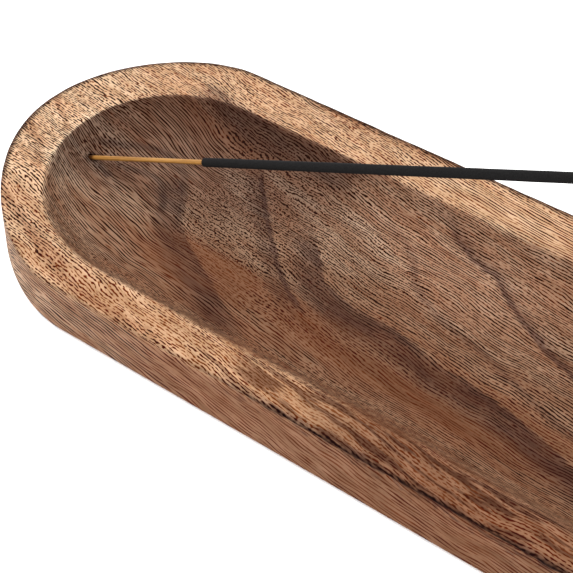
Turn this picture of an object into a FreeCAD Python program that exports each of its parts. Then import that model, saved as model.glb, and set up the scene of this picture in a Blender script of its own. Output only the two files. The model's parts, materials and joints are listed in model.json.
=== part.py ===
import FreeCAD, Part
import math
import os

# Incense burner: a carved wooden tray with a shallow hollow that catches ash, and one incense stick
# whose bare bamboo end stands in a small hole drilled into the hollow's end.
# X runs along the tray, from the end with the hole to the far end. Z is up.
# The origin is the middle of the flat underside. All sizes are in millimetres.

Vector = FreeCAD.Vector

# Tray body. Its side wall leans: the foot is wider than the rim. The length and width are the foot's,
# before its edge is rounded.
TRAY_LENGTH = 300.0
TRAY_WIDTH = 100.0
TRAY_HEIGHT = 18.2
WALL_LEAN = 2.15
RIM_EDGE_RADIUS = 1.0
FOOT_EDGE_RADIUS = 1.3

# The rounded ends are hand-shaped: a little more pointed than a half circle.
# Each quarter is one cubic curve. Its handles are fractions of the quarter's own length and width.
END_SPAN = 0.983
END_SIDE_HANDLE = 0.447
END_TIP_HANDLE = 0.516

# Hollow. It sits nearer to the front of the tray, and a round-nosed cutter left its coved wall.
HOLLOW_LENGTH = 265.0
HOLLOW_WIDTH = 69.0
HOLLOW_DEPTH = 8.0
HOLLOW_OFFSET_Y = -2.5
HOLLOW_END_LENGTH = 38.7
HOLLOW_SIDE_HANDLE = 0.56
HOLLOW_TIP_HANDLE = 0.59
COVE_RADIUS = 16.0
HOLLOW_EDGE_RADIUS = 1.0

# Stick hole, drilled along the stick's line into the cove at the hollow's -X end.
HOLE_MOUTH_FROM_TIP = 6.8
HOLE_MOUTH_DEPTH = 6.36
HOLE_RADIUS = 0.9
HOLE_DEPTH = 9.0
STICK_RISE_DEG = 27.92

# Incense stick: a bamboo core with a coat of incense paste rolled on it.
STICK_LENGTH = 230.0
CORE_RADIUS = 0.7
COAT_RADIUS = 1.25
BARE_LENGTH = 56.1
COAT_TIP_LENGTH = 1.0
COAT_EDGE_RADIUS = 0.3
HOLE_FLOOR_GAP = 0.1

# How far apart two heights may be and still count as the same.
HEIGHT_TOLERANCE = 1e-4


def rounded_end_quarter(centre, half_width, end_length, side_handle, tip_handle, sign_x, sign_y):
    """One quarter of an end, from the side of the outline to the tip of that end."""
    poles = [
        Vector(0.0, half_width, 0.0),
        Vector(end_length * side_handle, half_width, 0.0),
        Vector(end_length, half_width * tip_handle, 0.0),
        Vector(end_length, 0.0, 0.0),
    ]
    curve = Part.BezierCurve()
    curve.setPoles([centre + Vector(sign_x * p.x, sign_y * p.y, 0.0) for p in poles])
    return curve.toShape()


def oblong(length, width, end_length, side_handle, tip_handle, z, offset_y=0.0):
    """A closed outline with two straight sides and two rounded ends, as a wire at height z."""
    half_width = width / 2
    straight = length / 2 - end_length
    centres = {side: Vector(side * straight, offset_y, z) for side in (-1, 1)}

    def quarter(sign_x, sign_y):
        return rounded_end_quarter(
            centres[sign_x], half_width, end_length, side_handle, tip_handle, sign_x, sign_y
        )

    def straight_side(sign_y):
        across = Vector(0.0, sign_y * half_width, 0.0)
        return Part.makeLine(centres[-1] + across, centres[1] + across)

    edges = [
        quarter(-1, -1),
        straight_side(-1),
        quarter(1, -1),
        quarter(1, 1),
        straight_side(1),
        quarter(-1, 1),
    ]
    return Part.Wire(Part.__sortEdges__(edges))


def edges_at_height(shape, z):
    """The edges that lie wholly at one height."""
    return [
        edge
        for edge in shape.Edges
        if max(abs(edge.BoundBox.ZMin - z), abs(edge.BoundBox.ZMax - z)) < HEIGHT_TOLERANCE
    ]


def make_body():
    """The solid tray before it is hollowed."""
    half_width = TRAY_WIDTH / 2
    rim_half_width = half_width - WALL_LEAN
    foot = oblong(TRAY_LENGTH, TRAY_WIDTH, half_width * END_SPAN, END_SIDE_HANDLE, END_TIP_HANDLE, 0.0)
    rim_end_length = rim_half_width * END_SPAN
    rim_length = 2 * (TRAY_LENGTH / 2 - half_width * END_SPAN + rim_end_length)
    rim = oblong(
        rim_length, 2 * rim_half_width, rim_end_length, END_SIDE_HANDLE, END_TIP_HANDLE, TRAY_HEIGHT
    )
    return Part.makeLoft([foot, rim], True, True)


def make_hollow_cutter():
    """The space the round-nosed cutter clears: a prism whose bottom edge has the cutter's radius.

    The cutter's side stands outside the hollow's edge, so the cove meets the rim at a slope."""
    rise_to_rim = COVE_RADIUS - HOLLOW_DEPTH
    overhang = COVE_RADIUS - math.sqrt(COVE_RADIUS**2 - rise_to_rim**2)
    outline = oblong(
        HOLLOW_LENGTH + 2 * overhang,
        HOLLOW_WIDTH + 2 * overhang,
        HOLLOW_END_LENGTH + overhang,
        HOLLOW_SIDE_HANDLE,
        HOLLOW_TIP_HANDLE,
        TRAY_HEIGHT - HOLLOW_DEPTH,
        HOLLOW_OFFSET_Y,
    )
    well_above_rim = Vector(0.0, 0.0, 2 * COVE_RADIUS)
    prism = Part.Face(outline).extrude(well_above_rim)
    return prism.makeFillet(COVE_RADIUS, edges_at_height(prism, TRAY_HEIGHT - HOLLOW_DEPTH))


def hollow_edges(shape):
    """The edges where the hollow meets the rim's flat top."""
    inside_y = TRAY_WIDTH / 2 - WALL_LEAN - 2 * RIM_EDGE_RADIUS
    return [
        edge
        for edge in edges_at_height(shape, TRAY_HEIGHT)
        if max(abs(edge.BoundBox.YMin), abs(edge.BoundBox.YMax)) < inside_y
    ]


def stick_direction():
    """The way the stick leaves its hole: up and towards the tray's far end."""
    rise = math.radians(STICK_RISE_DEG)
    return Vector(math.cos(rise), 0.0, math.sin(rise))


def hole_mouth():
    """The middle of the hole's mouth, on the hollow's surface."""
    return Vector(
        HOLE_MOUTH_FROM_TIP - HOLLOW_LENGTH / 2, HOLLOW_OFFSET_Y, TRAY_HEIGHT - HOLE_MOUTH_DEPTH
    )


def make_tray():
    body = make_body()
    rim_edges = edges_at_height(body, TRAY_HEIGHT)
    body = body.makeFillet(RIM_EDGE_RADIUS, rim_edges)
    body = body.makeFillet(FOOT_EDGE_RADIUS, edges_at_height(body, 0.0))
    tray = body.cut(make_hollow_cutter())
    tray = tray.makeFillet(HOLLOW_EDGE_RADIUS, hollow_edges(tray))
    direction = stick_direction()
    bottom = hole_mouth() - direction * HOLE_DEPTH
    past_mouth = 2 * HOLE_DEPTH
    drill = Part.makeCylinder(HOLE_RADIUS, HOLE_DEPTH + past_mouth, bottom, direction)
    return tray.cut(drill)


def stick_foot():
    """The stick's lower end, just clear of the bottom of its hole."""
    return hole_mouth() - stick_direction() * (HOLE_DEPTH - HOLE_FLOOR_GAP)


def make_core():
    core_length = STICK_LENGTH - COAT_TIP_LENGTH
    return Part.makeCylinder(CORE_RADIUS, core_length, stick_foot(), stick_direction())


def make_coat(core):
    direction = stick_direction()
    start = stick_foot() + direction * BARE_LENGTH
    coat = Part.makeCylinder(COAT_RADIUS, STICK_LENGTH - BARE_LENGTH, start, direction)
    rims = [edge for edge in coat.Edges if isinstance(edge.Curve, Part.Circle)]
    return coat.makeFillet(COAT_EDGE_RADIUS, rims).cut(core)


def export(name, shape):
    """Write one node and print what it measures."""
    solids = shape.Solids
    assert shape.isValid() and len(solids) == 1, name
    box = shape.optimalBoundingBox()
    print(f"{name}: {box.XLength:.2f} x {box.YLength:.2f} x {box.ZLength:.2f}, {shape.Volume:.1f} mm3")
    solids[0].exportStep(f"parts/{name}.step")


def main():
    os.makedirs("parts", exist_ok=True)
    core = make_core()
    export("tray", make_tray())
    export("stick_core", core)
    export("incense_coat", make_coat(core))


main()
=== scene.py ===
import json
import math

import bmesh
import bpy
import numpy as np
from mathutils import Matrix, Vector, noise


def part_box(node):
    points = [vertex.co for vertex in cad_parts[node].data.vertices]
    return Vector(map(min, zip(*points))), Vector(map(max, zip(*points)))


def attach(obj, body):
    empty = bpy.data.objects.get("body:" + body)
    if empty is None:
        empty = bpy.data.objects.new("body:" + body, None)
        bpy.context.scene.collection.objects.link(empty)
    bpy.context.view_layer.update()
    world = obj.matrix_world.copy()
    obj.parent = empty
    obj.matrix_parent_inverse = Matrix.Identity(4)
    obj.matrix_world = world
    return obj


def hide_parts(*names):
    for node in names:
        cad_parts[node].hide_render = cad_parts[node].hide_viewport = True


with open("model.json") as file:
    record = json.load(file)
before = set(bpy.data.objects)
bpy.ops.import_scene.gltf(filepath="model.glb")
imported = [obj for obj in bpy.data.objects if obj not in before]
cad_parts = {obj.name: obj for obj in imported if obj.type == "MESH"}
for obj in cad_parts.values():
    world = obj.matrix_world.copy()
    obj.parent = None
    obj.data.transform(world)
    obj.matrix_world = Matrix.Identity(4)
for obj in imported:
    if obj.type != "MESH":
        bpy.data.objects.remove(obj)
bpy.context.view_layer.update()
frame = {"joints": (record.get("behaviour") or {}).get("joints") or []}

# An oblong wooden incense burner and its stick. X runs along the tray from the end with the stick's hole,
# Y across it towards the back, and Z up. Sizes are millimetres until a mesh is made.
MM = 0.001

# ------------------------------------------------------------------------------------------ sizes
tray_low, tray_high = [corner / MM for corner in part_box("tray")]
core_low, core_high = [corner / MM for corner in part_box("stick_core")]
coat_low, coat_high = [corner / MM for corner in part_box("incense_coat")]
STICK_AXIS = Vector(frame["joints"][0]["axis"]).normalized()

# The tray's outside. Its widest line is where the wall meets the rounding of the foot.
HEIGHT = tray_high.z
HALF_WIDTH = tray_high.y
END_SPAN = 0.983
END_HANDLES = (0.447, 0.516)
STRAIGHT = tray_high.x - END_SPAN * HALF_WIDTH
WALL_LEAN = 2.15
RIM_EDGE_RADIUS = 1.0
FOOT_EDGE_RADIUS = 1.3

# The hollow and its coved wall.
HOLLOW_HALF_LENGTH = 132.5
HOLLOW_HALF_WIDTH = 34.5
HOLLOW_DEPTH = 8.0
HOLLOW_CENTRE_Y = -2.5
HOLLOW_END = 38.7
HOLLOW_HANDLES = (0.56, 0.59)
COVE_RADIUS = 16.0
FLOOR_Z = HEIGHT - HOLLOW_DEPTH

# The stick, and its hole in the cove at the -X end. The hole's profile gives how far along the stick's
# line from the mouth, its radius and how far it has torn sideways.
CORE_RADIUS = (core_high.y - core_low.y) / 2
COAT_RADIUS = (coat_high.y - coat_low.y) / 2
STICK_LENGTH = 230.0
BARE_LENGTH = 56.1
COAT_TIP_LENGTH = 1.0
COAT_TIP_ROUNDING = 0.5
BORE_RADIUS = CORE_RADIUS + 0.02
SPLINT_SIDES = 20
SPLINT_UNEVENNESS = 0.07
COAT_SIDES = 28
COAT_UNEVENNESS = 0.06
STICK_FOOT = Vector((
    core_low.x + CORE_RADIUS * STICK_AXIS.z,
    (core_low.y + core_high.y) / 2,
    core_low.z + CORE_RADIUS * STICK_AXIS.x,
))
HOLE_DEPTH = 9.0
HOLE_FLOOR_GAP = 0.1
HOLE_MOUTH = STICK_FOOT + STICK_AXIS * (HOLE_DEPTH - HOLE_FLOOR_GAP)
HOLE_SIDES = 28
HOLE_PROFILE = [
    (-HOLE_DEPTH, 0.35, 0.0),
    (-8.6, 0.9, 0.0),
    (-1.4, 0.9, 0.0),
    (-0.6, 1.0, 0.10),
    (0.0, 1.1, 0.25),
    (0.7, 1.25, 0.5),
    (6.0, 1.6, 1.0),
]

# How finely the tray's outlines are divided, and how many points are compared with a line at once.
END_STEPS = 72
SIDE_STEPS = 176
BATCH = 4000

# The studio's light, as many times what it takes to show a colour at its own value, and the sky's part.
STUDIO_LIGHT = 2.2
SKY_STRENGTH = 1.75

# The camera: its angle round from straight in front and above the floor, in degrees, what it looks at,
# how far off it stands, and its lens.
CAMERA_AZIMUTH = 32.68
CAMERA_ELEVATION = 53.47
CAMERA_TARGET = (-50.0, -15.3, HEIGHT)
CAMERA_DISTANCE = 282.2
CAMERA_LENS = 68.3

# How far apart the rows of the wood's fibres lie.
ROW_PITCH = 0.76

# What the surface itself reflects, which comes on top of the wood's own colour.
SHEEN = 0.002


# -------------------------------------------------------------------------------------- mesh work
def new_object(name, mesh, material):
    """An object of the scene with that mesh and finish."""
    mesh.materials.clear()
    mesh.materials.append(material)
    piece = bpy.data.objects.new(name, mesh)
    bpy.context.scene.collection.objects.link(piece)
    return piece


def mesh_of_rings(name, rings, cap_ends=False):
    """A mesh whose skin joins closed rings of equally many points, given in millimetres."""
    count = len(rings[0])
    points = np.concatenate(rings) * MM
    here = np.arange(count)
    after = (here + 1) % count
    faces = []
    for k in range(len(rings) - 1):
        a, b = k * count, (k + 1) * count
        faces += np.stack([a + here, b + here, b + after, a + after], axis=1).tolist()
    if cap_ends:
        faces.append(list(here))
        faces.append(list((len(rings) - 1) * count + here[::-1]))
    mesh = bpy.data.meshes.new(name)
    mesh.from_pydata(points.tolist(), [], faces)
    work = bmesh.new()
    work.from_mesh(mesh)
    bmesh.ops.remove_doubles(work, verts=work.verts, dist=0.002 * MM)
    bmesh.ops.recalc_face_normals(work, faces=work.faces)
    for face in work.faces:
        face.smooth = True
    work.to_mesh(mesh)
    work.free()
    return mesh


def wander(points, size, seed=0.0):
    """Smooth noise from -1 to 1 at each point, with features of about that size in millimetres."""
    shift = Vector((seed * 17.3, seed * -9.1, seed * 5.7))
    return np.array([noise.noise(Vector(p) / size + shift) for p in points])


def vertex_array(mesh, kind="co"):
    """A mesh's points, or its normals, one to a row."""
    values = np.zeros(len(mesh.vertices) * 3)
    mesh.vertices.foreach_get(kind, values)
    return values.reshape(-1, 3)


def smooth_step(values, low, high):
    t = np.clip((values - low) / (high - low), 0.0, 1.0)
    return t * t * (3.0 - 2.0 * t)


# ---------------------------------------------------------------------------------- tray outlines
def quarter(end_length, half_width, handles, t):
    """A rounded end's quarter, from its side at t 0 to its tip at t 1: points and outward normals."""
    side_handle, tip_handle = handles
    poles = np.array([
        (0.0, half_width),
        (end_length * side_handle, half_width),
        (end_length, half_width * tip_handle),
        (end_length, 0.0),
    ])
    t = t[:, None]
    points = (
        (1 - t) ** 3 * poles[0]
        + 3 * (1 - t) ** 2 * t * poles[1]
        + 3 * (1 - t) * t ** 2 * poles[2]
        + t ** 3 * poles[3]
    )
    along = (
        (1 - t) ** 2 * (poles[1] - poles[0])
        + 2 * (1 - t) * t * (poles[2] - poles[1])
        + t ** 2 * (poles[3] - poles[2])
    )
    along /= np.linalg.norm(along, axis=1, keepdims=True)
    return points, np.stack([-along[:, 1], along[:, 0]], axis=1)


def oblong(straight, end_length, half_width, handles, centre_y=0.0):
    """A closed outline, anticlockwise from the front of the +X end: points and outward normals."""
    t = np.arange(END_STEPS) / END_STEPS
    s = 1.0 - 2.0 * np.arange(SIDE_STEPS)[:, None] / SIDE_STEPS
    to_tip = quarter(end_length, half_width, handles, t)
    from_tip = quarter(end_length, half_width, handles, 1.0 - t)
    corner = np.array([straight, 0.0])
    side = np.array([0.0, half_width])
    points, normals = [], []
    for sign, first, second in ((1, (1, -1), (1, 1)), (-1, (-1, 1), (-1, -1))):
        points += [
            (corner + to_tip[0]) * first,
            (corner + from_tip[0]) * second,
            sign * (corner * s + side),
        ]
        normals += [
            to_tip[1] * first,
            from_tip[1] * second,
            np.tile([0.0, float(sign)], (SIDE_STEPS, 1)),
        ]
    return np.concatenate(points) + [0.0, centre_y], np.concatenate(normals)


def outer_outline(half_width):
    return oblong(STRAIGHT, END_SPAN * half_width, half_width, END_HANDLES)


def hollow_outline():
    return oblong(
        HOLLOW_HALF_LENGTH - HOLLOW_END, HOLLOW_END, HOLLOW_HALF_WIDTH, HOLLOW_HANDLES, HOLLOW_CENTRE_Y
    )


def at_height(points, z):
    return np.column_stack([points, np.broadcast_to(z, len(points))])


def between(ring_a, ring_b, count):
    """Rings after ring_a, in equal steps up to and with ring_b."""
    return [ring_a + (ring_b - ring_a) * k / count for k in range(1, count + 1)]


# ------------------------------------------------------------------------------------ tray's skin
def hollow_edge_radius(points):
    """The hollow's edge is crisp round the stick's end and at the back, and soft along the front."""
    front = smooth_step(-points[:, 1], 8.0, 30.0)
    far = smooth_step(points[:, 0], -90.0, -20.0)
    return 0.6 + 3.9 * front + (1.4 + 1.6 * front) * far


def hollow_rings():
    """From the middle line of the floor, up the cove and over its edge to the flat rim."""
    edge, outward = hollow_outline()
    radius = hollow_edge_radius(edge)
    cove_inset = math.sqrt(COVE_RADIUS ** 2 - (COVE_RADIUS - HOLLOW_DEPTH) ** 2)
    reach = COVE_RADIUS + radius
    run = np.sqrt(reach ** 2 - (reach - HOLLOW_DEPTH) ** 2)
    steepest = np.arcsin(run / reach)

    def inset_ring(inset, z):
        return at_height(edge - outward * np.broadcast_to(inset, len(edge))[:, None], z)

    floor_edge = inset_ring(cove_inset, FLOOR_Z)
    middle = floor_edge.copy()
    ends = HOLLOW_HALF_LENGTH - HOLLOW_END
    middle[:, 0] = np.clip(middle[:, 0], -ends, ends)
    middle[:, 1] = HOLLOW_CENTRE_Y
    rings = [middle] + between(middle, floor_edge, 18)
    for k in range(1, 19):
        angle = steepest * k / 18
        rings.append(inset_ring(
            cove_inset - COVE_RADIUS * np.sin(angle),
            FLOOR_Z + COVE_RADIUS * (1.0 - np.cos(angle)),
        ))
    for k in range(1, 7):
        angle = steepest * (1 - k / 6)
        rings.append(inset_ring(
            cove_inset - run + radius * np.sin(angle),
            HEIGHT - radius + radius * np.cos(angle),
        ))
    return rings


def outside_rings(start):
    """From the flat rim over its outer edge, down the leaning wall and under the foot."""
    lean = math.atan2(WALL_LEAN, HEIGHT)
    widest = HALF_WIDTH + FOOT_EDGE_RADIUS * (math.tan(lean) + 1.0 / math.cos(lean) - 1.0)

    def rounding(centre_z, radius, first, last, steps):
        centre = widest - centre_z * math.tan(lean) - radius / math.cos(lean)
        for k in range(steps + 1):
            angle = first + (last - first) * k / steps
            half_width = centre + radius * math.sin(angle)
            yield at_height(outer_outline(half_width)[0], centre_z + radius * math.cos(angle))

    wall_angle = math.pi / 2 - lean
    top = list(rounding(HEIGHT - RIM_EDGE_RADIUS, RIM_EDGE_RADIUS, 0.0, wall_angle, 6))
    foot = list(rounding(FOOT_EDGE_RADIUS, FOOT_EDGE_RADIUS, wall_angle, math.pi, 6))
    rings = between(start, top[0], 14) + top[1:] + between(top[-1], foot[0], 16) + foot[1:]
    under = rings[-1].copy()
    under[:, 0] = np.clip(under[:, 0], -STRAIGHT, STRAIGHT)
    under[:, 1] = 0.0
    return rings + between(rings[-1], under, 8)


def soften_by_hand(mesh):
    """Sanding leaves the flats a little uneven and the outer edge a little worn, always inward."""
    points = vertex_array(mesh) / MM
    normals = vertex_array(mesh, "normal")
    broad = 0.5 + 0.5 * wander(points, 21.0, 1.0)
    fine = 0.5 + 0.5 * wander(points, 5.0, 2.0)
    near_top = smooth_step(points[:, 2], HEIGHT - 2.2, HEIGHT - 0.2)
    outside = smooth_step(distance_inside_rim(points), 1.6, 0.2)
    depth = 0.10 * broad + 0.03 * fine + 0.16 * near_top * outside * fine
    depth *= smooth_step(points[:, 2], 0.0, 1.0)
    points -= normals * depth[:, None]
    mesh.vertices.foreach_set("co", (points * MM).ravel())
    mesh.update()


def distance_inside(points, outline):
    """How far each point lies inside a closed outline seen from above, in millimetres."""
    edge, outward = outline
    result = np.empty(len(points))
    for start in range(0, len(points), BATCH):
        gap = points[start:start + BATCH, None, :2] - edge[None]
        nearest = np.argmin((gap ** 2).sum(axis=2), axis=1)
        pick = gap[np.arange(len(nearest)), nearest]
        result[start:start + BATCH] = -(pick * outward[nearest]).sum(axis=1)
    return result


def distance_inside_rim(points):
    return distance_inside(points, outer_outline(HALF_WIDTH - WALL_LEAN))


def hole_cutter():
    """A drill hole along the stick's line. Its mouth is torn open a little on the upper side."""
    across = Vector((0.0, 1.0, 0.0))
    upward = STICK_AXIS.cross(across)
    torn_towards = upward * 0.8 + across * 0.6
    rings = []
    for along, radius, shift in HOLE_PROFILE:
        ring = []
        for k in range(HOLE_SIDES):
            angle = 2 * math.pi * k / HOLE_SIDES
            place = Vector((math.cos(angle), math.sin(angle), along))
            ragged = 1.0 + 0.5 * shift * noise.noise(place * 1.7)
            out = across * math.cos(angle) + upward * math.sin(angle)
            ring.append(HOLE_MOUTH + STICK_AXIS * along + out * radius * ragged + torn_towards * shift)
        rings.append(np.array(ring))
    return mesh_of_rings("hole_cutter", rings, cap_ends=True)


def drill(piece):
    """Cuts the stick's hole into the piece's mesh."""
    cutter = bpy.data.objects.new("hole_cutter", hole_cutter())
    bpy.context.scene.collection.objects.link(cutter)
    cut = piece.modifiers.new("hole", "BOOLEAN")
    cut.operation = "DIFFERENCE"
    cut.solver = "EXACT"
    cut.object = cutter
    result = bpy.data.meshes.new_from_object(piece.evaluated_get(bpy.context.evaluated_depsgraph_get()))
    piece.modifiers.clear()
    piece.data = result
    bpy.data.objects.remove(cutter)


# ----------------------------------------------------------------------------------- wood's figure
def curve_through(points, step=0.5):
    """Points about one step apart on a smooth line through given ones."""
    p = np.array(points, float)
    p = np.vstack([2 * p[0] - p[1], p, 2 * p[-1] - p[-2]])
    line = []
    for a, b, c, d in zip(p[:-3], p[1:-2], p[2:-1], p[3:]):
        count = max(2, int(np.linalg.norm(c - b) / step))
        for t in np.arange(count)[:, None] / count:
            line.append(0.5 * (
                2 * b + (c - a) * t + (2 * a - 5 * b + 4 * c - d) * t ** 2 + (3 * b - a - 3 * c + d) * t ** 3
            ))
    return np.array(line)


def signed_distance(points, line):
    """Distance to a line seen from above, positive on its left, and the share of its length there."""
    along = np.gradient(line, axis=0)
    left = np.stack([-along[:, 1], along[:, 0]], axis=1)
    distance, share = np.empty(len(points)), np.empty(len(points))
    for start in range(0, len(points), BATCH):
        gap = points[start:start + BATCH, None, :2] - line[None]
        squared = (gap ** 2).sum(axis=2)
        nearest = np.argmin(squared, axis=1)
        row = np.arange(len(nearest))
        side = np.sign((gap[row, nearest] * left[nearest]).sum(axis=1))
        distance[start:start + BATCH] = side * np.sqrt(squared[row, nearest])
        share[start:start + BATCH] = nearest / (len(line) - 1)
    return distance, share


def srgb(red, green, blue):
    """A screen colour, 0 to 255, as the linear colour that nodes use."""
    parts = np.array([red, green, blue]) / 255.0
    return np.where(parts <= 0.04045, parts / 12.92, ((parts + 0.055) / 1.055) ** 2.4)


def blend_of(points, tones, reach):
    """A colour at each point from tones (x, y, colour), each strongest near its own place."""
    total = np.zeros((len(points), 3))
    weight = np.zeros(len(points))
    for x, y, colour in tones:
        squared = (points[:, 0] - x) ** 2 + ((points[:, 1] - y) * 1.6) ** 2
        w = 1.0 / (squared + reach ** 2) ** 2
        total += w[:, None] * srgb(*colour)
        weight += w
    return np.maximum(total / weight[:, None] - SHEEN, 0.002) / STUDIO_LIGHT


def patches(points, spots):
    """How much of a quality each point has, from soft oval spots (x, y, reach x, reach y, strength)."""
    total = np.zeros(len(points))
    for x, y, reach_x, reach_y, strength in spots:
        off = ((points[:, 0] - x) / reach_x) ** 2 + ((points[:, 1] - y) / reach_y) ** 2
        total += strength * smooth_step(off, 1.6, 0.3)
    return np.minimum(total, 1.0)


def across_grain(points, inside, arris):
    """Millimetres across the grain from the tray's middle line, measured over the surface.

    It stays the same along each fibre, also where the fibres swerve from the tray's length."""
    x, y, z = points.T
    off = y - HOLLOW_CENTRE_Y
    up_cove = np.arccos(np.clip(1.0 - (z - FLOOR_Z) / COVE_RADIUS, 0.5, 1.0))
    up_cove[inside < 0.0] = math.acos(0.5)
    extra = COVE_RADIUS * (up_cove - np.sin(up_cove)) + 0.5 * np.clip(-arris, 0.0, HEIGHT)
    across = off + np.clip(off / 15.0, -1.0, 1.0) * extra
    for spot_x, spot_y, reach_x, reach_y, slope in GRAIN_SWERVES:
        far = ((x - spot_x) / reach_x) ** 2 + ((y - spot_y) / reach_y) ** 2
        across -= slope * (x - spot_x) * np.exp(-far)
    return across - GRAIN_TURN * TURN_REACH * np.log1p(np.exp(-(x - TURN_X) / TURN_REACH))


def set_attribute(mesh, name, values):
    """Stores one number, or three as a colour, for each point of a mesh."""
    if values.ndim == 2:
        attribute = mesh.attributes.new(name, "FLOAT_COLOR", "POINT")
        rgba = np.column_stack([values, np.ones(len(values))])
        attribute.data.foreach_set("color", rgba.astype(np.float32).ravel())
    else:
        attribute = mesh.attributes.new(name, "FLOAT", "POINT")
        attribute.data.foreach_set("value", values.astype(np.float32))


# The wood's tones, as screen colours.
SAPWOOD = (200, 160, 125)
DARK_SAPWOOD = (145, 105, 80)
PALE_HEARTWOOD = (155, 115, 90)
HEARTWOOD = (130, 92, 68)
DARK_HEARTWOOD = (108, 74, 56)

# The stick's colours, as screen colours.
BAMBOO = (194, 137, 66)
PASTE = (34, 33, 33)

# How far each tone keeps to itself round its own place.
RIM_REACH = 9.0
WALL_REACH = 20.0
HOLLOW_REACH = 6.0

# Where each tone lies, x and y. The tones blend in between. The rim is sapwood, but for a dark stretch
# in the middle of its front.
RIM_TONES = [
    (-140, 0, SAPWOOD),
    (-70, 40, SAPWOOD),
    (-70, -40, SAPWOOD),
    (30, 40, SAPWOOD),
    (25, -42, DARK_SAPWOOD),
    (135, 0, SAPWOOD),
]

# The wall is sapwood at the ends and the back, and darker along the front.
WALL_TONES = [
    (-140, 0, SAPWOOD),
    (-60, -50, PALE_HEARTWOOD),
    (30, -50, DARK_SAPWOOD),
    (0, 50, SAPWOOD),
    (145, 0, SAPWOOD),
]

# The hollow is heartwood: dark at the back beyond the stick's hole, pale towards the middle, and dark round
# the hole, where darker wood and painted shade of the cove's end are one tone.
HOLLOW_TONES = [
    (-128, 0, DARK_HEARTWOOD),
    (-110, -18, HEARTWOOD),
    (-85, 18, DARK_HEARTWOOD),
    (-75, -25, HEARTWOOD),
    (-45, 0, HEARTWOOD),
    (-20, 20, PALE_HEARTWOOD),
    (0, -15, HEARTWOOD),
    (60, 0, HEARTWOOD),
    (125, 0, HEARTWOOD),
]

# Where the wood's grain is of another kind than the short dashes that cover the rest, and where it
# swerves from the tray's length: middle x and y, reach along and across, then strength or slope.
LONG_GRAIN = [
    (-107, 14, 17, 13, 1.0),
    (-108, -11, 18, 12, 1.0),
    (-92, -22, 24, 8, 0.8),
    (-66, -27, 34, 5, 0.7),
    (20, 38, 60, 8, 0.7),
    (30, -24, 70, 8, 0.6),
    (90, 0, 40, 30, 0.5),
]
CURLED_GRAIN = [
    (-76, 14, 26, 16, 1.0),
    (-56, 5, 30, 16, 0.9),
    (-80, -6, 20, 12, 0.8),
    (-36, 12, 24, 14, 0.6),
]
MEDIUM_GRAIN = [(0, 10, 60, 34, 1.0), (60, -10, 60, 34, 1.0)]
BLOTCHED_GRAIN = [(-2, -42, 56, 9, 1.0)]
GRAIN_SWERVES = [(-106, 20, 16, 14, -0.25), (-108, -14, 20, 12, -0.06), (10, 18, 26, 14, -0.10)]

# The grain runs at a slope to the tray's length near the stick's end, and comes into line beyond TURN_X.
GRAIN_TURN = 0.2
TURN_X = 10.0
TURN_REACH = 30.0

# What a band of darker wood does to the colour under it.
PLUM = (0.32, 0.27, 0.34)
SLATE = (0.28, 0.29, 0.40)
RUSSET = (0.50, 0.30, 0.18)

# What else changes the colour under it: the oil, the redder wood, pores, blotches, scorching, and painted
# shade at the hole's mouth.
OILED = (1.07, 0.97, 0.89)
REDDER = (1.04, 0.86, 0.72)
IN_PORE = (0.40, 0.30, 0.24)
BLOTCHED = (0.30, 0.22, 0.20)
SCORCHED = (0.12, 0.08, 0.08)
PAINTED_HOLE_SHADE = (0.3, 0.22, 0.24)

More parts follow.
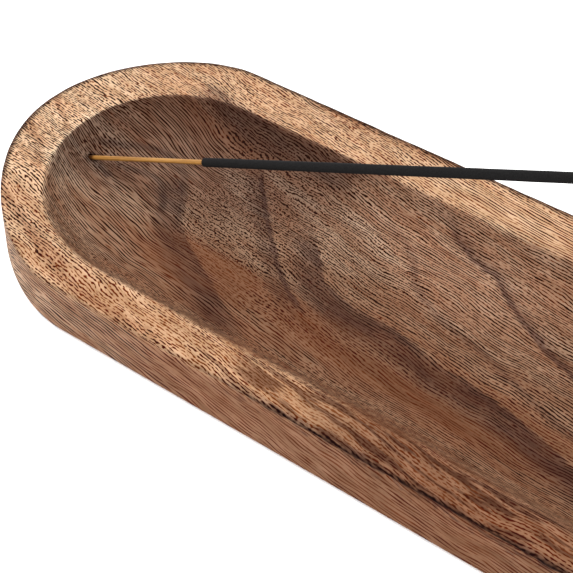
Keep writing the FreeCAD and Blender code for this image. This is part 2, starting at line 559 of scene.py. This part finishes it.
# Bands of darker wood, as lines seen from above: points, how far the dark reaches on the line's left and
# right, how dark the band is, how dark a fine line along it, and its colour.
BANDS = [
    (
        [(-131, 0), (-127, 4), (-120, 9), (-112, 12), (-105, 11), (-100, 8), (-96, 3), (-92, -4), (-88, -10)],
        1.4, 2.6, 0.56, 0.0, SLATE,
    ),
    (
        [(-103, 8), (-98, 3), (-94, -3), (-89, -9), (-81, -15), (-72, -20), (-62, -26), (-50, -30)],
        1.4, 11.0, 0.66, 0.0, PLUM,
    ),
    ([(-122, -1), (-115, 1.5), (-107, 2.5), (-102, 0), (-98, -5), (-96, -11)], 1.3, 2.0, 0.5, 0.0, SLATE),
    (
        [(-84, 23), (-76, 13), (-71, 7), (-65, 0.5), (-61, -4), (-57, -7.5), (-51, -12), (-42, -17)],
        1.0, 6.0, 0.5, 0.85, PLUM,
    ),
    (
        [(-64, 18), (-58, 11), (-53, 5), (-49, 0.5), (-45, -4), (-36, -6.5), (-26, -7), (-16, -8.5),
         (-8, -10.5), (0, -11), (12, -13), (24, -16), (38, -20), (70, -25), (110, -24)],
        1.0, 11.0, 0.8, 0.0, PLUM,
    ),
    (
        [(-46, 26), (-40, 23), (-33, 20), (-28, 15), (-23, 8), (-16, 4), (-9, 1.5), (0, -0.5), (12, -5),
         (27, -10), (50, -14), (80, -10)],
        1.2, 2.0, 0.4, 0.4, PLUM,
    ),
    (
        [(-36, 32), (-26, 30), (-21, 27), (-14, 24), (-7, 22.5), (-3, 19.5), (3, 15), (10, 11), (18, 7),
         (44, 0), (90, 4), (125, 10)],
        4.0, 1.0, 0.6, 0.8, PLUM,
    ),
    (
        [(-114, 37), (-106, 35), (-98, 33), (-88, 31.5), (-76, 31), (-62, 31), (-50, 30)],
        2.0, 8.0, 0.65, 0.0, PLUM,
    ),
    (
        [(-62, -16), (-46, -18), (-30, -20), (-10, -21), (10, -25), (34, -29), (80, -30)],
        5.0, 4.0, 0.4, 0.0, RUSSET,
    ),
    ([(-84, 49), (-66, 48), (-44, 48), (-22, 49)], 1.0, 4.5, 0.85, 0.0, RUSSET),
    ([(-149, 10), (-142, 4), (-136, 0), (-132, -6)], 1.5, 1.5, 0.35, 0.6, RUSSET),
    ([(-149, -4), (-141, -8), (-135, -13), (-130, -20)], 1.5, 3.0, 0.4, 0.6, RUSSET),
    ([(-145, -20), (-137, -27), (-126, -33), (-114, -37), (-98, -42)], 1.5, 3.0, 0.4, 0.5, RUSSET),
    ([(-128, -31), (-112, -40), (-96, -45), (-78, -46), (-60, -46)], 0.8, 2.0, 0.5, 0.5, RUSSET),
    ([(-124, -2.8), (-121, -3.6), (-117, -4.4)], 1.6, 1.6, 0.9, 0.0, PLUM),
    ([(-56, -47.6), (-30, -47.4), (0, -47.4), (60, -47.4), (125, -46)], 1.8, 0.8, 0.65, 0.0, PLUM),
]

# Where the grain has more or less contrast than elsewhere: middle x and y, reach along and across, and
# how much is added.
GRAIN_CONTRAST = [
    (-142, 0, 12, 34, 0.4),
    (-127, 2, 7, 20, 0.6),
    (-112, -8, 22, 22, 0.4),
    (-64, 8, 36, 18, 0.55),
    (-66, -43, 52, 7, -0.3),
    (-80, -17, 22, 9, -0.55),
    (4, -18, 60, 8, -0.5),
    (-30, -28, 60, 9, -0.3),
    (-50, -8, 30, 10, -0.25),
    (10, -43, 50, 8, -0.65),
]


def paint_bands(mesh, points):
    """Stores each band as its signed distance and its strength, which fades at both ends."""
    for index, (line, *_) in enumerate(BANDS):
        distance, share = signed_distance(points, curve_through(line))
        fade = smooth_step(share, 0.0, 0.12) * smooth_step(share, 1.0, 0.85)
        values = np.column_stack([np.clip(distance, -20.0, 20.0), fade, np.zeros(len(points))])
        set_attribute(mesh, f"band_{index}", values)


def paint_tray(mesh):
    """Stores where each part of the wood's figure lies, for the wood's nodes to read."""
    points = vertex_array(mesh) / MM
    x, y, z = points.T
    warped = points + 1.2 * np.stack(
        [wander(points, 14.0, 3.0), wander(points, 11.0, 4.0), np.zeros(len(points))], axis=1
    )

    # The colour changes at the hollow's edge: at once at the back, over a few millimetres in front.
    inside = distance_inside(points, hollow_outline())
    inside[z < FLOOR_Z - 0.5] = -20.0
    softness = 0.8 + 1.6 * smooth_step(-y, 0.0, 22.0) + 2.0 * smooth_step(x, -60.0, 0.0)
    outset = 0.5 + 0.6 * smooth_step(y, 20.0, 30.0)
    set_attribute(mesh, "hollow_inset", np.clip((inside + outset) / softness, -10.0, 10.0))

    arris = np.where(z < HEIGHT - 0.9, z - HEIGHT, distance_inside_rim(points))
    arris[inside > 0.0] = 20.0
    at_back = smooth_step(y - 0.4 * x, 10.0, 40.0)
    at_front = smooth_step(-y, 10.0, 34.0) * (0.4 + 0.6 * smooth_step(x, -70.0, -10.0))
    set_attribute(mesh, "scorch", np.maximum(at_back, at_front))
    set_attribute(mesh, "arris", np.clip(arris * (1.0 - 0.5 * at_back) - 0.45 * at_back, -20.0, 20.0))

    wall = smooth_step(-arris, 0.3, 2.5)[:, None]
    rim = blend_of(warped, RIM_TONES, RIM_REACH)
    side = blend_of(warped, WALL_TONES, WALL_REACH)
    set_attribute(mesh, "rim_colour", rim + (side - rim) * wall)
    set_attribute(mesh, "hollow_colour", blend_of(warped, HOLLOW_TONES, HOLLOW_REACH))

    in_hollow = smooth_step(inside, -1.0, 2.0)
    on_wall = smooth_step(-arris, 0.5, 1.5)
    long = np.maximum(patches(points, LONG_GRAIN) * np.maximum(in_hollow, y > 30.0), 0.85 * on_wall)
    set_attribute(mesh, "long_grain", long)
    set_attribute(mesh, "curled_grain", patches(points, CURLED_GRAIN) * in_hollow)
    set_attribute(mesh, "medium_grain", patches(points, MEDIUM_GRAIN))
    set_attribute(mesh, "blotches", patches(points, BLOTCHED_GRAIN) * (1.0 - in_hollow) * (1.0 - on_wall))
    contrast = 1.0 + patches(points, GRAIN_CONTRAST) * (1.0 - on_wall)
    contrast += on_wall * (0.2 - 0.85 * smooth_step(x, -110.0, -50.0))
    set_attribute(mesh, "contrast", np.maximum(contrast, 0.3))
    set_attribute(mesh, "across_grain", across_grain(points, inside, arris))
    facing_x = np.abs(vertex_array(mesh, "normal")[:, 0])
    set_attribute(mesh, "end_grain", smooth_step(facing_x, 0.7, 0.9) * on_wall)

    from_mouth = np.linalg.norm(points - np.array(HOLE_MOUTH), axis=1)
    set_attribute(mesh, "from_mouth", np.clip(from_mouth, 0.0, 20.0))
    paint_bands(mesh, points)


# -------------------------------------------------------------------------------------- materials
class Finish:
    """One material's node tree, with short calls for the nodes that the finishes share."""

    def __init__(self, name, roughness, specular):
        self.material = bpy.data.materials.new(name)
        self.material.use_nodes = True
        self.tree = self.material.node_tree
        self.shader = self.tree.nodes["Principled BSDF"]
        self.shader.inputs["Roughness"].default_value = roughness
        self.shader.inputs["Specular IOR Level"].default_value = specular

    def feed(self, socket, value):
        if isinstance(value, bpy.types.NodeSocket):
            self.tree.links.new(value, socket)
        else:
            socket.default_value = value

    def node(self, kind, inputs, **settings):
        node = self.tree.nodes.new("ShaderNode" + kind)
        for name, value in settings.items():
            setattr(node, name, value)
        for socket, value in inputs.items():
            self.feed(node.inputs[socket], value)
        return node

    def math(self, operation, a, b=0.0, c=0.0):
        return self.node("Math", {0: a, 1: b, 2: c}, operation=operation).outputs[0]

    def vector(self, operation, a, b=(0.0, 0.0, 0.0), c=(0.0, 0.0, 0.0)):
        return self.node("VectorMath", {0: a, 1: b, 2: c}, operation=operation).outputs[0]

    def step(self, value, low, high, out_low=0.0, out_high=1.0):
        """A smooth change from out_low to out_high while value goes from low to high."""
        inputs = {0: value, 1: low, 2: high, 3: out_low, 4: out_high}
        return self.node("MapRange", inputs, interpolation_type="SMOOTHSTEP").outputs[0]

    def lerp(self, share, a, b):
        return self.node("Mix", {0: share, 2: a, 3: b}, data_type="FLOAT").outputs[0]

    def mix(self, share, a, b, blend="MIX"):
        node = self.node("Mix", {}, data_type="RGBA", blend_type=blend)
        for socket, value in ((0, share), (6, a), (7, b)):
            if isinstance(value, (np.ndarray, tuple)):
                value = (*value[:3], 1.0)
            self.feed(node.inputs[socket], value)
        return node.outputs[2]

    def place(self):
        """Where the shaded point lies on the object, in millimetres."""
        return self.vector("MULTIPLY", self.node("TexCoord", {}).outputs["Object"], (1 / MM, 1 / MM, 1 / MM))

    def attribute(self, name, output="Fac"):
        return self.node("Attribute", {}, attribute_name=name).outputs[output]

    def drawn(self, place, along, across, seed, detail=2.0):
        """Noise, 0 to 1, with that many features to the millimetre along and across the grain."""
        spread = self.vector("MULTIPLY_ADD", place, (along, across, across), (seed, seed * 0.7, -seed))
        return self.node("TexNoise", {"Vector": spread, "Scale": 1.0, "Detail": detail}).outputs[0]

    def shade(self, colour, amount):
        """The colour made lighter or darker by the same amount, to the eye, in all its parts."""
        seen = self.node("Gamma", {"Color": colour, "Gamma": 1 / 2.2}).outputs[0]
        green = self.node("SeparateColor", {0: seen}).outputs[1]
        amount = self.math("MULTIPLY", amount, self.math("MINIMUM", self.math("MULTIPLY", green, 3.2), 1.0))
        less_red = self.math("MULTIPLY", amount, 0.82)
        amount = self.node("CombineXYZ", {0: less_red, 1: amount, 2: amount}).outputs[0]
        seen = self.vector("MAXIMUM", self.vector("ADD", seen, amount), (0.12, 0.06, 0.03))
        return self.node("Gamma", {"Color": seen, "Gamma": 2.2}).outputs[0]

    def swapped(self, place):
        """The place with its Y and Z as X and Y, for what shows on an end face."""
        parts = self.node("SeparateXYZ", {0: place}).outputs
        return self.node("CombineXYZ", {0: parts[1], 1: parts[2]}).outputs[0]

    def tint(self, colour, factor, red, blue):
        """The colour times a factor that acts less on its red and more on its blue."""
        parts = [self.math("POWER", factor, red), factor, self.math("POWER", factor, blue)]
        return self.mix(1.0, colour, self.node("CombineColor", dict(enumerate(parts))).outputs[0], "MULTIPLY")

    def bump(self, height, distance, strength=1.0):
        node = self.node("Bump", {"Height": height, "Distance": distance * MM, "Strength": strength})
        self.feed(self.shader.inputs["Normal"], node.outputs[0])


def cut_fibres(wood, place, per_mm, seed):
    """The fibres' cut ends as small spots on an end face: 0 in the middle of a spot, more away from it."""
    cells = wood.vector("MULTIPLY_ADD", place, (per_mm, per_mm, per_mm), (seed, seed * 0.7, -seed))
    inputs = {"Vector": cells, "Scale": 1.0, "Randomness": 0.7}
    settings = {"voronoi_dimensions": "2D", "distance": "CHEBYCHEV"}
    return wood.node("TexVoronoi", inputs, **settings).outputs["Distance"]


def pores(wood, grain, along, across, radius, seed):
    """Open vessels as dark dashes along the grain: 1 in a pore and 0 beside it."""
    cells = wood.vector("MULTIPLY_ADD", grain, (along, across, across), (seed, seed, seed))
    voronoi = wood.node("TexVoronoi", {"Vector": cells, "Scale": 1.0, "Randomness": 1.0})
    chance = wood.node("SeparateColor", {0: voronoi.outputs["Color"]}).outputs[0]
    size = wood.math("MULTIPLY_ADD", chance, 0.22, voronoi.outputs["Distance"])
    return wood.step(size, radius * 0.75, radius * 1.35, 1.0, 0.0)


def grain_place(wood, place):
    """The place along and across the grain, gently bent, so that what is drawn along X follows the grain."""
    slow = wood.vector("MULTIPLY", place, (0.035, 0.06, 0.06))
    bend = wood.node("TexNoise", {"Vector": slow, "Scale": 1.0, "Detail": 2.0}).outputs[1]
    bend = wood.vector("SUBTRACT", bend, (0.5, 0.5, 0.5))
    along = wood.node("SeparateXYZ", {0: place}).outputs[0]
    surface = wood.node("CombineXYZ", {0: along, 1: wood.attribute("across_grain")}).outputs[0]
    return wood.vector("MULTIPLY_ADD", bend, (0.0, 5.0, 0.0), surface)


def grain_pattern(wood, place, grain):
    """The fine light and dark of the grain, dark where it is low: rows of fibres that break into dashes.

    Where the grain is short the rows waver and break often. Where it is long they run on."""
    across = wood.node("SeparateXYZ", {0: grain}).outputs[1]
    long = wood.attribute("long_grain")
    run = wood.math("MAXIMUM", long, wood.math("MULTIPLY", wood.attribute("medium_grain"), 0.45))
    curled = wood.attribute("curled_grain")
    waver = wood.lerp(curled, wood.lerp(run, 1.0, 0.7), 2.0)
    shift = wood.lerp(run, wood.drawn(grain, 0.22, 0.6, 3.1, 0.0), wood.drawn(grain, 0.05, 0.6, 33.1, 0.0))
    shift = wood.math("MULTIPLY", wood.math("ADD", shift, -0.5), waver)
    turns = wood.math("MULTIPLY_ADD", across, 1.0 / ROW_PITCH, shift)
    rows = wood.math("SINE", wood.math("MULTIPLY", turns, 2.0 * math.pi))
    short = wood.lerp(curled, wood.drawn(grain, 0.9, 2.4, 7.7, 0.0), wood.drawn(grain, 1.7, 2.8, 7.7, 0.0))
    breaks = wood.lerp(run, short, wood.drawn(grain, 0.20, 2.2, 17.9, 0.0))
    strength = wood.lerp(curled, wood.lerp(run, 4.6, 4.0), 5.4)
    breaks = wood.math("MULTIPLY", wood.math("ADD", breaks, -0.5), strength)
    pattern = wood.math("ADD", rows, breaks)
    ends = cut_fibres(wood, wood.swapped(place), 1.3, 29.3)
    ends = wood.math("MULTIPLY_ADD", ends, 5.0, -2.2)
    return wood.lerp(wood.attribute("end_grain"), pattern, ends)


def add_bands(wood, grain, colour):
    """Darkens the bands of heartwood, each with its own soft and crisp side and uneven along its length."""
    waver = wood.math("MULTIPLY_ADD", wood.drawn(grain, 0.3, 0.9, 23.0, 3.0), 2.8, -1.4)
    patchy = wood.step(wood.drawn(grain, 0.07, 0.22, 63.0, 3.0), 0.35, 0.65, 0.72, 1.12)
    for index, (_, left, right, strength, line_strength, dark) in enumerate(BANDS):
        parts = wood.node("SeparateColor", {0: wood.attribute(f"band_{index}", "Color")})
        distance = wood.math("ADD", parts.outputs[0], waver)
        soft = wood.step(distance, 0.0, left, strength, 0.0)
        crisp = wood.step(distance, -right, -0.35 * right)
        mask = wood.math("MULTIPLY", wood.math("MULTIPLY", soft, crisp), patchy)
        if line_strength:
            line = wood.step(wood.math("ABSOLUTE", distance), 0.4, 1.4, line_strength, 0.0)
            mask = wood.math("MAXIMUM", mask, line)
        mask = wood.math("MULTIPLY", mask, parts.outputs[1])
        colour = wood.mix(mask, colour, dark, "MULTIPLY")
    return colour


def wood_finish():
    wood = Finish("tray_wood", 0.6, 0.03)
    place = wood.place()
    grain = grain_place(wood, place)

    edge_noise = wood.math("MULTIPLY_ADD", wood.drawn(grain, 0.3, 0.6, 3.0), 1.0, -0.2)
    inside = wood.step(wood.math("ADD", wood.attribute("hollow_inset"), edge_noise), 0.0, 1.0)
    colour = wood.mix(inside, wood.attribute("rim_colour", "Color"), wood.attribute("hollow_colour", "Color"))
    colour = wood.mix(1.0, colour, OILED, "MULTIPLY")

    # Broad drift between golden and reddish wood, long streaks, and a mottle that is fainter in the hollow.
    drift = wood.step(wood.drawn(grain, 0.03, 0.11, 11.0, 3.0), 0.35, 0.7, 0.0, 0.4)
    colour = wood.mix(drift, colour, REDDER, "MULTIPLY")
    streak = wood.step(wood.drawn(grain, 0.04, 0.7, 31.0, 3.0), 0.3, 0.7, 0.84, 1.16)
    colour = wood.tint(colour, streak, 0.8, 1.2)
    mottle = wood.step(wood.drawn(grain, 0.13, 0.32, 71.0, 3.0), 0.35, 0.65, 0.86, 1.12)
    mottle = wood.lerp(wood.math("MULTIPLY", inside, 0.6), mottle, 1.0)
    colour = wood.tint(colour, mottle, 0.8, 1.3)

    colour = add_bands(wood, grain, colour)

    # The grain itself, which darkens the wood no further than darkest, and the open pores on it.
    pattern = grain_pattern(wood, place, grain)
    depth = wood.step(pattern, -1.2, 0.0)
    lively = wood.step(wood.drawn(grain, 0.05, 0.25, 51.0, 1.0), 0.35, 0.65, 0.7, 1.25)
    contrast = wood.math("MULTIPLY", wood.attribute("contrast"), lively)
    darkest = wood.math("MULTIPLY_ADD", wood.attribute("contrast"), -0.2, -0.26)
    light = wood.math("MAXIMUM", wood.math("MULTIPLY", wood.lerp(depth, -0.5, 0.1), contrast), darkest)
    colour = wood.shade(colour, light)
    small = pores(wood, grain, 0.75, 2.4, 0.28, 9.0)
    long = pores(wood, grain, 0.22, 2.6, 0.17, 14.0)
    open_pores = wood.lerp(wood.attribute("long_grain"), small, long)
    colour = wood.mix(wood.math("MULTIPLY", open_pores, 0.7), colour, IN_PORE, "MULTIPLY")

    # Dark blotches on the front of the rim.
    blotch = wood.step(wood.drawn(grain, 0.06, 0.55, 41.0, 3.0), 0.46, 0.58)
    blotch = wood.math("MULTIPLY", blotch, wood.attribute("blotches"))
    colour = wood.mix(wood.math("MULTIPLY", blotch, 0.85), colour, BLOTCHED, "MULTIPLY")

    # The scorched outer edge, and painted shade in and round the hole's mouth.
    arris = wood.math("MULTIPLY_ADD", pattern, 0.2, wood.attribute("arris"))
    scorch = wood.math("MULTIPLY", wood.step(arris, -1.4, -0.3), wood.step(arris, 0.0, 0.8, 1.0, 0.0))
    scorch = wood.math("MULTIPLY", scorch, wood.attribute("scorch"))
    colour = wood.mix(wood.math("MULTIPLY", scorch, 0.9), colour, SCORCHED, "MULTIPLY")
    # Painted shade: the wood is darker in and round the hole's mouth.
    painted_hole_shade = wood.step(wood.attribute("from_mouth"), 0.8, 3.4, 0.6, 0.0)
    colour = wood.mix(painted_hole_shade, colour, PAINTED_HOLE_SHADE, "MULTIPLY")

    wood.feed(wood.shader.inputs["Base Color"], colour)
    wood.feed(wood.shader.inputs["Roughness"], wood.lerp(open_pores, 0.58, 0.85))
    wood.bump(wood.math("SUBTRACT", wood.math("MULTIPLY", depth, 0.5), open_pores), 0.06, 0.5)
    return wood.material


def stick_place(mesh):
    """Stores each point's distance along the stick from its foot, and across it both ways."""
    points = vertex_array(mesh) / MM - np.array(STICK_FOOT)
    across = Vector((0.0, 1.0, 0.0))
    axes = np.array([STICK_AXIS, across, STICK_AXIS.cross(across)])
    set_attribute(mesh, "stick_place", points @ axes.T)


def bamboo_finish():
    bamboo = Finish("bamboo", 0.5, 0.15)
    place = bamboo.attribute("stick_place", "Vector")
    fibre = bamboo.drawn(place, 0.06, 3.2, 5.0, 2.0)
    fine = bamboo.drawn(place, 0.5, 7.0, 6.0, 1.0)
    light = bamboo.step(fibre, 0.3, 0.7, 0.7, 1.25)
    light = bamboo.math("MULTIPLY", light, bamboo.step(fine, 0.3, 0.7, 0.85, 1.15))
    parts = bamboo.node("SeparateXYZ", {0: place}).outputs
    # Painted shade: the splint's colour is darker on its lower side.
    under = bamboo.step(parts[2], -0.6, 0.2, 0.72, 1.05)
    # Painted shade of the hole: the splint is near black from its foot to the hole's mouth and clears just
    # past it. It moves with the stick.
    painted_shade_in_hole = bamboo.step(parts[0], HOLE_DEPTH, HOLE_DEPTH + 1.8, 0.1, 1.0)
    light = bamboo.math("MULTIPLY", light, bamboo.math("MULTIPLY", under, painted_shade_in_hole))
    colour = bamboo.tint(srgb(*BAMBOO) / STUDIO_LIGHT, light, 0.8, 1.3)
    bamboo.feed(bamboo.shader.inputs["Base Color"], colour)
    bamboo.bump(fibre, 0.03, 0.6)
    return bamboo.material


def paste_finish():
    paste = Finish("incense_paste", 0.85, 0.06)
    place = paste.attribute("stick_place", "Vector")
    grit = paste.drawn(place, 4.0, 4.0, 2.0, 2.0)
    light = paste.step(grit, 0.3, 0.7, 0.7, 1.3)
    colour = paste.tint(srgb(*PASTE) / STUDIO_LIGHT, light, 1.0, 1.0)
    paste.feed(paste.shader.inputs["Base Color"], colour)
    paste.bump(grit, 0.06, 0.7)
    return paste.material


def plain_finish(name, colour, roughness, specular=0.3):
    finish = Finish(name, roughness, specular)
    finish.shader.inputs["Base Color"].default_value = (*srgb(*colour), 1.0)
    return finish.material


# ------------------------------------------------------------------------------------------- tray
def make_tray():
    rings = hollow_rings()
    rings += outside_rings(rings[-1])
    mesh = mesh_of_rings("tray_carved", rings)
    soften_by_hand(mesh)
    tray = new_object("tray_carved", mesh, wood_finish())
    drill(tray)
    paint_tray(tray.data)
    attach(tray, "tray")
    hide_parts("tray")


# ------------------------------------------------------------------------------------------ stick
def stick_ring(along, radius, steps, unevenness=0.0, seed=0.0):
    """A ring round the stick's line, that far along it from its foot."""
    across = Vector((0.0, 1.0, 0.0))
    upward = STICK_AXIS.cross(across)
    ring = []
    for k in range(steps):
        angle = 2 * math.pi * k / steps
        wobble = noise.noise(Vector((2 * math.cos(angle), 2 * math.sin(angle), along * 0.25 + seed)))
        size = radius - unevenness * (0.5 + 0.5 * wobble)
        out = across * math.cos(angle) + upward * math.sin(angle)
        ring.append(STICK_FOOT + STICK_AXIS * along + out * size)
    return np.array(ring)


def make_splint():
    end = STICK_LENGTH - COAT_TIP_LENGTH
    bare = np.linspace(0.8, BARE_LENGTH + 2.0, 70)
    covered = np.linspace(70.0, end, 12)
    rings = [stick_ring(0.0, 0.4, SPLINT_SIDES), stick_ring(0.0, 0.55, SPLINT_SIDES, SPLINT_UNEVENNESS)]
    for along in (0.15, *bare, *covered):
        rings.append(stick_ring(along, CORE_RADIUS, SPLINT_SIDES, SPLINT_UNEVENNESS))
    mesh = mesh_of_rings("bamboo_splint", rings, cap_ends=True)
    stick_place(mesh)
    splint = new_object("bamboo_splint", mesh, bamboo_finish())
    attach(splint, "stick")
    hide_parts("stick_core")


def make_coat():
    start, end = BARE_LENGTH, STICK_LENGTH
    bore_end = end - COAT_TIP_LENGTH
    rings = [
        stick_ring(bore_end, BORE_RADIUS, COAT_SIDES),
        stick_ring(start, BORE_RADIUS, COAT_SIDES),
        stick_ring(start, COAT_RADIUS - 0.25, COAT_SIDES),
        stick_ring(start + 0.05, COAT_RADIUS - 0.1, COAT_SIDES),
    ]
    for along in np.arange(start + 0.15, end - COAT_TIP_ROUNDING, 0.7):
        rings.append(stick_ring(along, COAT_RADIUS, COAT_SIDES, COAT_UNEVENNESS, 40.0))
    for k in range(1, 7):
        angle = math.pi / 2 * k / 7
        along = end - COAT_TIP_ROUNDING + COAT_TIP_ROUNDING * math.sin(angle)
        radius = COAT_RADIUS - COAT_UNEVENNESS - 0.6 * (1 - math.cos(angle))
        rings.append(stick_ring(along, radius, COAT_SIDES))
    mesh = mesh_of_rings("incense_paste_coat", rings, cap_ends=True)
    stick_place(mesh)
    coat = new_object("incense_paste_coat", mesh, paste_finish())
    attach(coat, "stick")
    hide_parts("incense_coat")


# ----------------------------------------------------------------------------------------- studio
def make_floor():
    half = 6.0
    mesh = bpy.data.meshes.new("floor")
    corners = [(-half, -half, 0.0), (half, -half, 0.0), (half, half, 0.0), (-half, half, 0.0)]
    mesh.from_pydata(corners, [], [(0, 1, 2, 3)])
    floor = new_object("floor", mesh, plain_finish("floor", (255, 255, 255), 0.9, 0.1))


def make_world(strength):
    world = bpy.data.worlds.new("studio")
    bpy.context.scene.world = world
    world.use_nodes = True
    world.node_tree.nodes["Background"].inputs[0].default_value = (1.0, 1.0, 1.0, 1.0)
    world.node_tree.nodes["Background"].inputs[1].default_value = strength


def make_area_light(name, place, target, size, power):
    light = bpy.data.lights.new(name, "AREA")
    light.size = size
    light.energy = power
    lamp = bpy.data.objects.new(name, light)
    bpy.context.scene.collection.objects.link(lamp)
    lamp.location = place
    lamp.rotation_euler = (Vector(target) - Vector(place)).to_track_quat("-Z", "Y").to_euler()


def make_camera():
    azimuth, elevation = math.radians(CAMERA_AZIMUTH), math.radians(CAMERA_ELEVATION)
    target = Vector(CAMERA_TARGET) * MM
    back = Vector((
        math.sin(azimuth) * math.cos(elevation), -math.cos(azimuth) * math.cos(elevation), math.sin(elevation)
    ))
    camera = bpy.data.objects.new("camera", bpy.data.cameras.new("camera"))
    bpy.context.scene.collection.objects.link(camera)
    camera.data.lens = CAMERA_LENS
    camera.data.clip_start = 0.01
    camera.location = target + back * CAMERA_DISTANCE * MM
    camera.rotation_euler = (-back).to_track_quat("-Z", "Y").to_euler()
    bpy.context.scene.camera = camera


def make_studio():
    make_floor()
    make_world(SKY_STRENGTH)
    make_area_light("key", place=(-0.75, 0.3, 1.1), target=(-0.03, 0.0, 0.0), size=0.9, power=11.0)
    make_camera()
    bpy.context.scene.view_settings.view_transform = "Standard"


make_tray()
make_splint()
make_coat()
make_studio()
